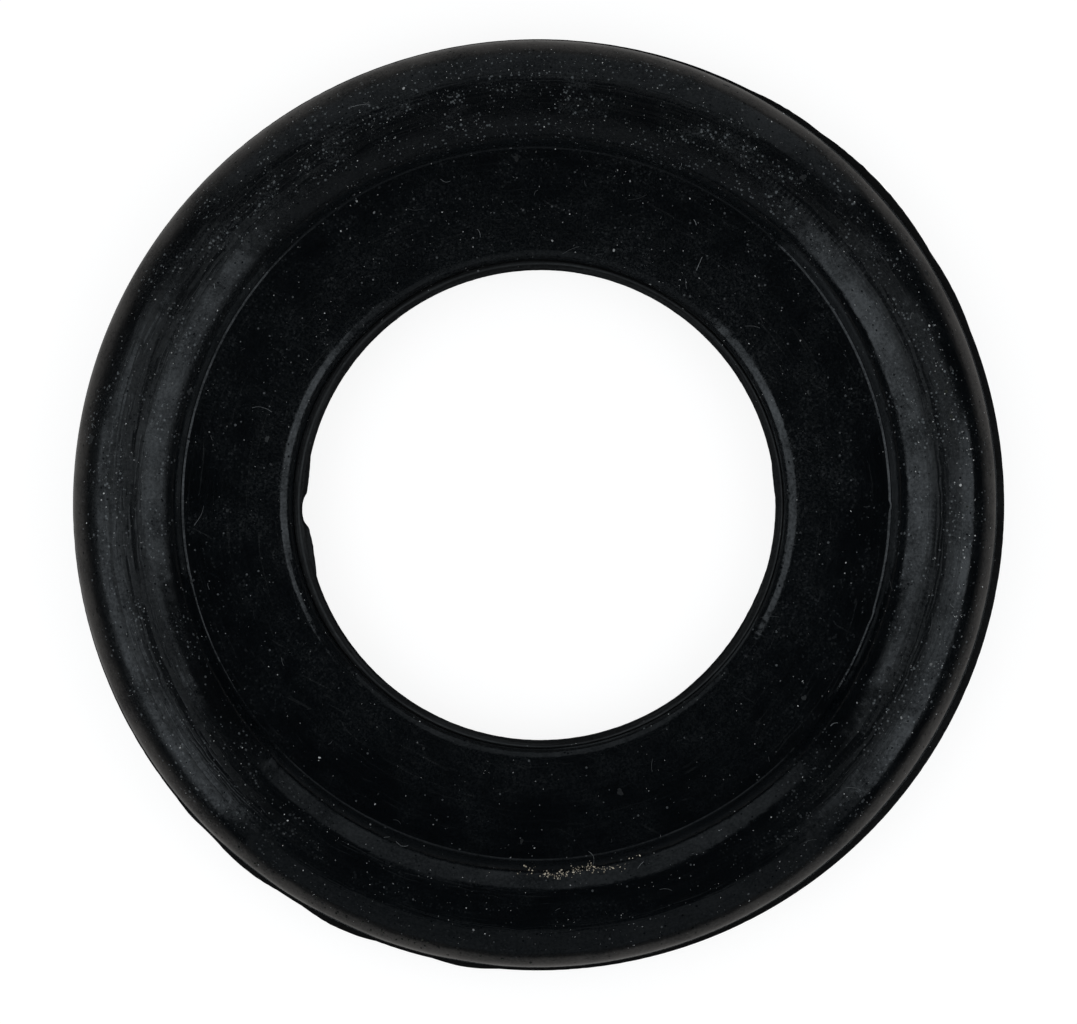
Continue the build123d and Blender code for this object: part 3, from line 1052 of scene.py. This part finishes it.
def make_lights(scene):
    """Soft panels beside the part, and a plain even room light."""
    for name, centre, target, width, height, radiance in SOFT_PANELS:
        lamp = bpy.data.lights.new(name, "AREA")
        lamp.shape = "RECTANGLE"
        lamp.size, lamp.size_y = width * MM, height * MM
        lamp.energy = radiance * math.pi * width * MM * height * MM
        lamp.color = hex_linear(PANEL_COLOUR)[:3]
        held = bpy.data.objects.new(name, lamp)
        centre, target = Vector(centre) * MM, Vector(target) * MM
        facing = (target - centre).to_track_quat("-Z", "Y").to_matrix().to_4x4()
        held.matrix_world = Matrix.Translation(centre) @ facing
        held.visible_camera = False
        scene.collection.objects.link(held)
    world = bpy.data.worlds.new("studio_room")
    scene.world = world
    world.use_nodes = True
    t = world.node_tree
    t.nodes.clear()
    shown, gloss = background_rays(t)
    room = add(t, "ShaderNodeBackground", {"Color": hex_linear(WHITE), "Strength": ROOM_STRENGTH})
    dark = add(t, "ShaderNodeBackground", {"Color": hex_linear(WHITE), "Strength": ROOM_IN_GLOSS})
    white = add(t, "ShaderNodeBackground", {"Color": hex_linear(WHITE), "Strength": 1.0})
    mixed = add(t, "ShaderNodeMixShader", {0: gloss, 1: room, 2: dark})
    mixed = add(t, "ShaderNodeMixShader", {0: shown, 1: mixed, 2: white})
    add(t, "ShaderNodeOutputWorld", {"Surface": mixed})


def make_camera(s, scene):
    """A long lens straight above the ring."""
    lens = bpy.data.cameras.new("studio_camera")
    lens.lens = s.lens
    lens.sensor_width = SENSOR_WIDTH
    lens.clip_start, lens.clip_end = 0.001, 20.0
    distance = s.view_width * s.lens / SENSOR_WIDTH
    held = bpy.data.objects.new("studio_camera", lens)
    x, y = CAMERA_OFFSET
    held.location = (x * MM, y * MM, distance + CAMERA_FOCUS_HEIGHT * MM)
    scene.collection.objects.link(held)
    scene.camera = held


# ---------------------------------------------------------------- panel and registration


class SEALING_PT_panel(bpy.types.Panel):
    """Lists the ring's parts and their settings"""

    bl_idname = "SEALING_PT_panel"
    bl_label = "Sealing Ring"
    bl_space_type = "VIEW_3D"
    bl_region_type = "UI"
    bl_category = "Sealing Ring"

    def draw(self, context):
        scene = context.scene
        for group, operators in PANEL_ROWS:
            box = self.layout.box()
            settings = getattr(scene, group)
            for name in settings.__annotations__:
                box.prop(settings, name)
            for operator in operators:
                box.operator(operator)


PANEL_ROWS = (
    ("sealing_ring_sizes", ("sealing.ring",)),
    ("sealing_dust", ("sealing.dust", "sealing.lint")),
    ("sealing_studio", ("sealing.stage",)),
)
GROUPS = (
    ("sealing_ring_sizes", RingSettings),
    ("sealing_dust", DustSettings),
    ("sealing_studio", StudioSettings),
)
CLASSES = (
    RingSettings,
    DustSettings,
    StudioSettings,
    SEALING_OT_ring,
    SEALING_OT_dust,
    SEALING_OT_lint,
    SEALING_OT_stage,
    SEALING_PT_panel,
)


def register():
    for made in CLASSES:
        bpy.utils.register_class(made)
    for name, group in GROUPS:
        setattr(bpy.types.Scene, name, bpy.props.PointerProperty(type=group))


def unregister():
    for name, _ in GROUPS:
        delattr(bpy.types.Scene, name)
    for made in reversed(CLASSES):
        bpy.utils.unregister_class(made)


def main():
    register()
    bpy.ops.sealing.ring()
    bpy.ops.sealing.dust()
    bpy.ops.sealing.lint()
    bpy.ops.sealing.stage()


if __name__ == "__main__":
    main()
